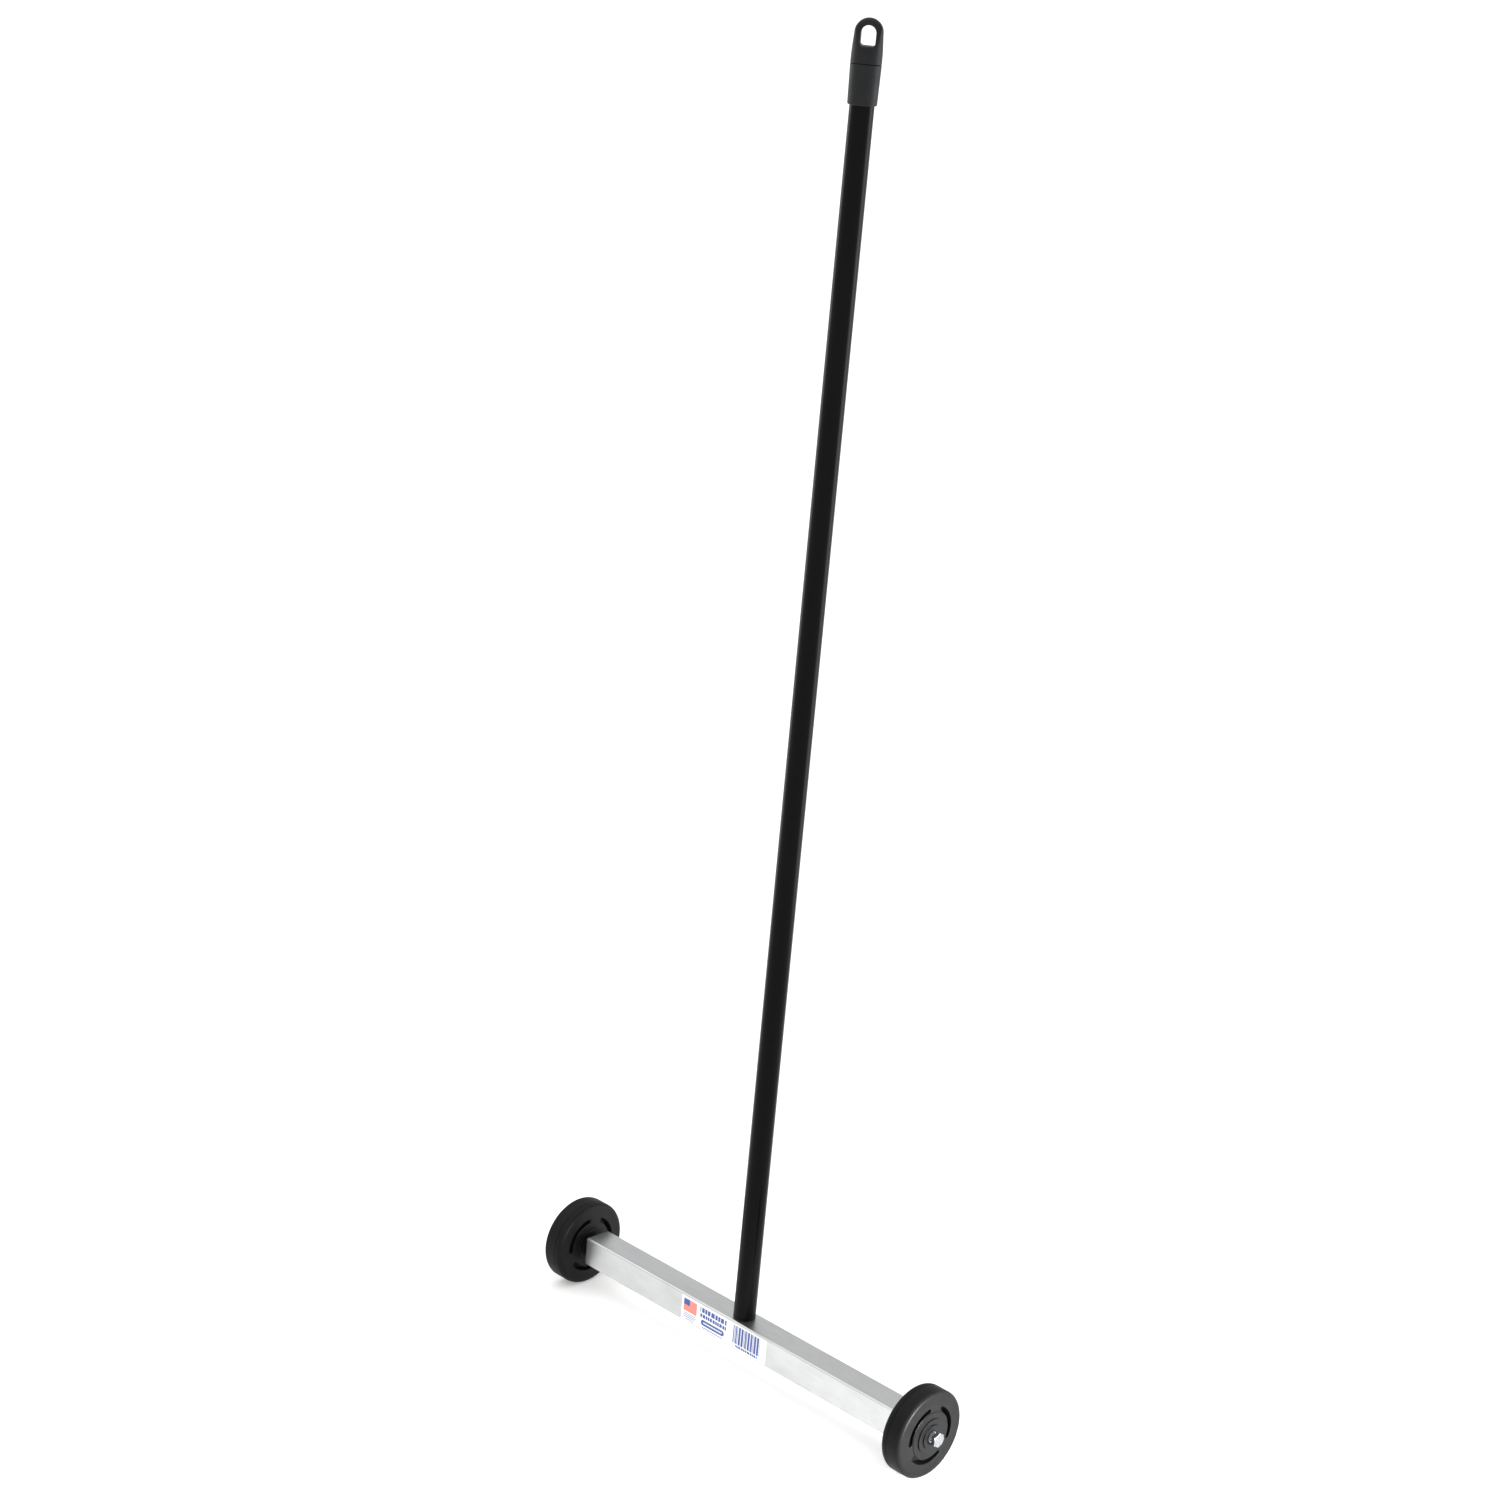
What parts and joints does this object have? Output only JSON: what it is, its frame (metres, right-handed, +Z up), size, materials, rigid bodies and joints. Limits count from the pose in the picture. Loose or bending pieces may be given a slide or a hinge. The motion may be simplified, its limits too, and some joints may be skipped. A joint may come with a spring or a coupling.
{
  "type": "magnetic floor sweeper",
  "caption": "Push sweeper: square aluminium bar holding a row of magnets, on two free wheels, with a long straight pole and a swivelling hang loop.",
  "frame": {"origin": "on the floor under the middle of the magnet bar, which is also under the pole's axis", "axes": "+X along the bar and the wheel axles, +Y from the bar's labelled front face to its back, +Z up along the pole"},
  "size_m": [0.4438, 0.075, 1.1187],
  "materials": {
    "aluminium_tube": "extruded, satin",
    "zinc_steel": "zinc plated",
    "bush_steel": "turned, bright",
    "ferrite": "ground, matt",
    "black_gloss_paint": "gloss powder coat",
    "nylon_plug": "moulded, matt",
    "cap_plastic": "moulded, satin",
    "wheel_plastic": "moulded, satin",
    "label_paper": "gloss coated label"
  },
  "bodies": {
    "frame": {"housing_tube": "aluminium_tube", "backing_bar": "zinc_steel", "magnet_1": "ferrite", "magnet_2": "ferrite", "magnet_3": "ferrite", "magnet_4": "ferrite", "magnet_5": "ferrite", "magnet_6": "ferrite", "magnet_7": "ferrite", "pole_bolt": "zinc_steel", "pole_bolt_washer": "zinc_steel", "pole_tube": "black_gloss_paint", "pole_insert": "nylon_plug", "cap_sleeve": "cap_plastic", "product_label": "label_paper", "end_plug_left": "nylon_plug", "axle_bolt_left": "zinc_steel", "axle_jam_nut_left": "zinc_steel", "thrust_washer_left": "zinc_steel", "end_plug_right": "nylon_plug", "axle_bolt_right": "zinc_steel", "axle_jam_nut_right": "zinc_steel", "thrust_washer_right": "zinc_steel"},
    "left_wheel": {"wheel_left": "wheel_plastic", "wheel_bushing_left": "bush_steel"},
    "right_wheel": {"wheel_right": "wheel_plastic", "wheel_bushing_right": "bush_steel"},
    "loop": {"hang_loop": "cap_plastic"}
  },
  "joints": [
    {"name": "left_wheel_spin", "type": "hinge", "parent": "frame", "child": "left_wheel", "pos_m": [-0.20215, 0, 0.0375], "axis": [1, 0, 0], "continuous": true},
    {"name": "right_wheel_spin", "type": "hinge", "parent": "frame", "child": "right_wheel", "pos_m": [0.20215, 0, 0.0375], "axis": [1, 0, 0], "continuous": true},
    {"name": "hang_loop_swivel", "type": "hinge", "parent": "frame", "child": "loop", "pos_m": [0, 0, 1.08555], "axis": [0, 0, 1], "continuous": true}
  ]
}
